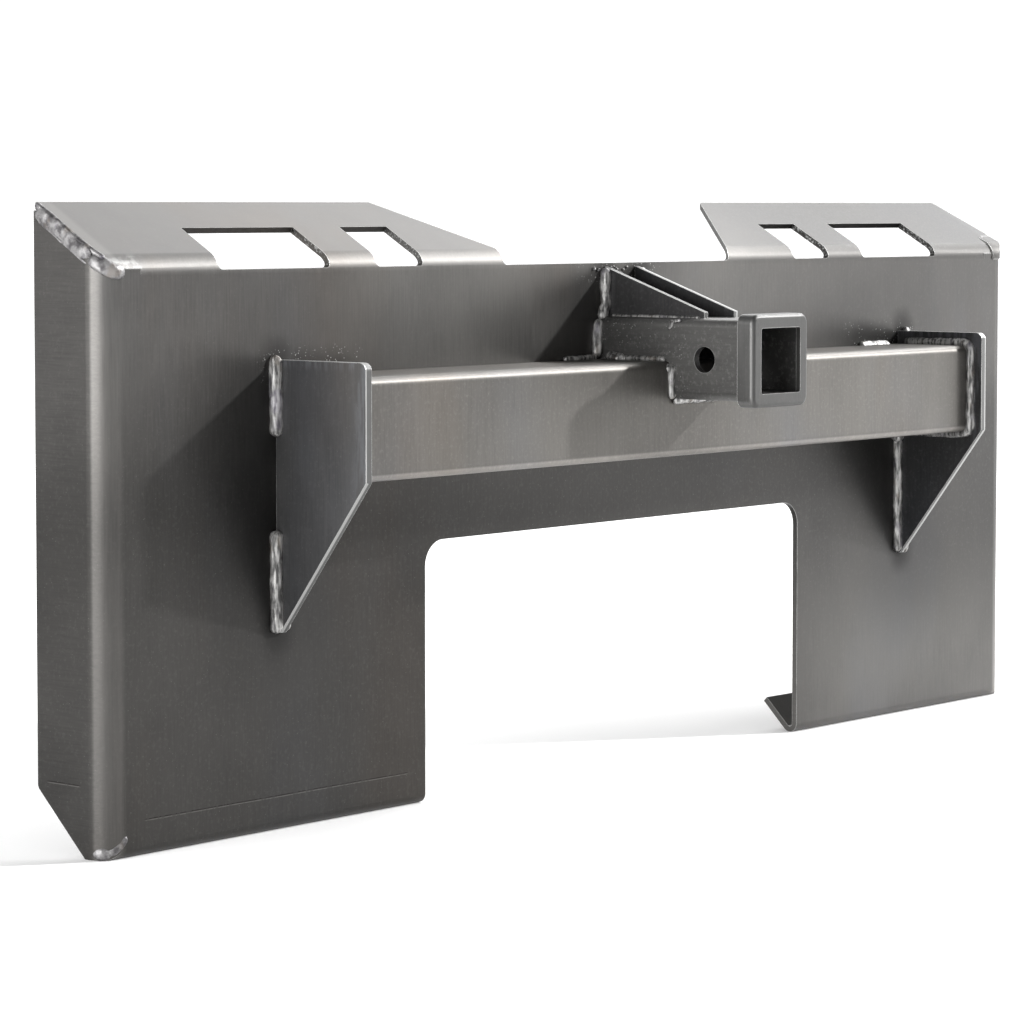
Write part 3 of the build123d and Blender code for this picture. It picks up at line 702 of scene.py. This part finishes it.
for side in both:
    x = side * (SOCKET_X + 2)
    beads.append({"path": [(x + side * 2, -3.0, TUBE_TOP + 1), (x, -2.4, TUBE_TOP + 14),
                           (x - side * 1.5, -2.0, SOCKET_TOP - 2)],
                  "radius": 4.9, "out": Vector((side, -1, 0)), "rough": 1.2, "flat": 0.7})
    beads.append({"path": [(x + side * 42, -2.2, TUBE_TOP + 0.6), (x + side * 20, -2.6, TUBE_TOP + 1.2),
                           (x + side * 2, -3.0, TUBE_TOP + 1.6)],
                  "radius": 2.7, "out": Vector((0, -1, 1)), "rough": 1.6, "flat": 0.8})
weld("socket_root_beads", ["receiver_root_welds"], beads)
beads = []
for side in both:
    beads.append({"path": [(side * (RIB_X + 6.5), -2.4, SOCKET_TOP - 4),
                           (side * (RIB_X + 2.6), -2.6, SOCKET_TOP + 10),
                           (side * (RIB_X + 2.0), -2.4, RIB_TOP - 1)],
                  "radius": 4.7, "out": Vector((side, -1, 0)), "rough": 1.2, "flat": 0.7})
FLECKS = 14
spatter = random.Random(7)
for index in range(FLECKS):
    x = spatter.uniform(-RIB_X - 16, RIB_X - 6)
    z = RIB_TOP - abs(spatter.gauss(0, 4)) - 1
    size = spatter.uniform(0.8, 1.7)
    lean = spatter.uniform(-2.5, 2.5)
    beads.append({"path": [(x, -0.6, z), (x + lean, -1.0, z + 2.0)], "radius": size, "rough": 1.6,
                  "flat": 0.8})
weld("rib_root_beads", ["rib_plate_welds"], beads)
weld("rib_foot_beads", ["rib_tube_welds"], [
    {"path": [(side * (RIB_X + 0.4), -97, SOCKET_TOP + 0.2), (side * (RIB_X + 0.4), -8, SOCKET_TOP + 0.2)],
     "radius": 1.7, "out": Vector((side, 0, 1)), "rough": 0.9} for side in both])
weld("collar_beads", ["collar_weld"], [
    {"path": [(-SOCKET_X + 7, COLLAR_BACK + 0.6, level), (SOCKET_X - 7, COLLAR_BACK + 0.6, level)],
     "radius": 1.7, "out": Vector((0, 1, lean)), "rough": 0.9}
    for level, lean in ((SOCKET_TOP + 0.3, 1), (SOCKET_LOW - 0.3, -1))])


# ---------- studio ----------
FLOOR_REACH = 260.0
floor_corners = [(x * FLOOR_REACH, y * FLOOR_REACH, 0) for x, y in ((-1, -1), (1, -1), (1, 1), (-1, 1))]
floor_mesh = bpy.data.meshes.new("floor")
floor_mesh.from_pydata(floor_corners, [], [(0, 1, 2, 3)])
floor = bpy.data.objects.new("floor", floor_mesh)
floor_look = Nodes("studio_floor")
floor_sockets = floor_look.shader.inputs
floor_shade = floor_look.noise((0.6, 0.6, 0.6), detail=2)
floor_color = floor_look.mix(floor_shade, (0.916, 0.916, 0.916), (0.93, 0.93, 0.93))
floor_look.put(floor_sockets["Base Color"], floor_color)
floor_sockets["Roughness"].default_value = 0.95
floor_sockets["Emission Color"].default_value = (1, 1, 1, 1)
# The floor glows a little, and more far from the part, so that it stays white up to the horizon
away = floor_look.vector("DISTANCE", floor_look.place, Vector((0, 0, 0)))
floor_look.put(floor_sockets["Emission Strength"], floor_look.ramp(away, 1.2, 3.5, 0.12, 0.38))
floor_mesh.materials.append(floor_look.material)
bpy.context.scene.collection.objects.link(floor)

world = bpy.data.worlds.new("studio")
world.use_nodes = True
sky = world.node_tree
view = sky.nodes.new("ShaderNodeTexCoord")
ways = sky.nodes.new("ShaderNodeSeparateXYZ")
sky.links.new(view.outputs["Generated"], ways.inputs[0])


def sky_ramp(socket, low, high, out_low, out_high):
    node = sky.nodes.new("ShaderNodeMapRange")
    node.interpolation_type = "SMOOTHSTEP"
    sky.links.new(socket, node.inputs["Value"])
    for name, value in (("From Min", low), ("From Max", high), ("To Min", out_low), ("To Max", out_high)):
        node.inputs[name].default_value = value
    return node.outputs[0]


def sky_math(operation, a, b):
    node = sky.nodes.new("ShaderNodeMath")
    node.operation = operation
    for socket, value in zip(node.inputs, (a, b)):
        if isinstance(value, bpy.types.NodeSocket):
            sky.links.new(value, socket)
        else:
            socket.default_value = value
    return node.outputs[0]


# White behind the part and to its left, greyer overhead and towards the side that the face looks at
behind = sky_ramp(ways.outputs["Y"], -0.25, 0.25, 0.0, 1.0)
left = sky_ramp(ways.outputs["X"], 0.35, -0.35, 0.0, 1.0)
low_down = sky_ramp(ways.outputs["Z"], 0.18, 0.5, 1.0, 0.0)
lit = sky_math("MULTIPLY", sky_math("MAXIMUM", behind, left), low_down)
glow = sky_math("ADD", sky_math("MULTIPLY", lit, 0.8), 0.36)
sky.links.new(glow, sky.nodes["Background"].inputs["Strength"])
sky.nodes["Background"].inputs["Color"].default_value = (0.97, 0.97, 0.97, 1)
bpy.context.scene.world = world

LIT_POINT = Vector((0, 0.02, 0.26))


def looking(spot, way):
    """The placing of a lamp or camera that looks a given way from a spot."""
    return Matrix.Translation(spot) @ way.to_track_quat("-Z", "Y").to_matrix().to_4x4()


def softbox(name, direction, distance, width, height, strength):
    """An area light that looks at the part from the given direction."""
    data = bpy.data.lights.new(name, "AREA")
    data.shape = "RECTANGLE"
    data.size = width
    data.size_y = height
    data.energy = strength
    lamp = bpy.data.objects.new(name, data)
    spot = LIT_POINT + Vector(direction).normalized() * distance
    lamp.matrix_world = looking(spot, LIT_POINT - spot)
    bpy.context.scene.collection.objects.link(lamp)


SUN_WAY = Vector((-1.5, 1.0, -0.93))
SUN_SPREAD = 2.6
SUN_STRENGTH = 3.4
sun_data = bpy.data.lights.new("key", "SUN")
sun_data.angle = math.radians(SUN_SPREAD)
sun_data.energy = SUN_STRENGTH
sun = bpy.data.objects.new("key", sun_data)
sun.rotation_euler = SUN_WAY.to_track_quat("-Z", "Y").to_euler()
bpy.context.scene.collection.objects.link(sun)
softbox("top_box", (0.70, 0.33, 0.62), 3.0, 2.6, 2.0, 50)
softbox("edge_box", (0.76, -0.12, 0.62), 3.0, 1.0, 0.8, 46)
softbox("right_box", (1.9, -0.9, -0.02), 2.1, 0.9, 1.2, 10)
softbox("front_box", (-0.985, 0.04, 0.14), 3.0, 2.3, 1.6, 70)
bpy.context.scene.view_settings.view_transform = "Standard"

# The camera as fitted to the photograph: its place, its turn from straight at the face, its dip, its lens,
# and how many of the picture's rows it is shifted
CAMERA_SPOT = at(-2261.85, -1816.63, 456.98)
CAMERA_TURN, CAMERA_DIP = math.radians(49.47), math.radians(3.30)
CAMERA_LENS = 125.57
PICTURE_ROWS, SHIFTED_ROWS = 1024, -100
camera_data = bpy.data.cameras.new("camera")
camera_data.sensor_width = 36.0
camera_data.lens = CAMERA_LENS
camera_data.shift_y = SHIFTED_ROWS / PICTURE_ROWS
camera_data.clip_end = 1000
camera = bpy.data.objects.new("camera", camera_data)
forward = Vector((math.sin(CAMERA_TURN) * math.cos(CAMERA_DIP), math.cos(CAMERA_TURN) * math.cos(CAMERA_DIP),
                  -math.sin(CAMERA_DIP)))
camera.matrix_world = looking(CAMERA_SPOT, forward)
bpy.context.scene.collection.objects.link(camera)
bpy.context.scene.camera = camera
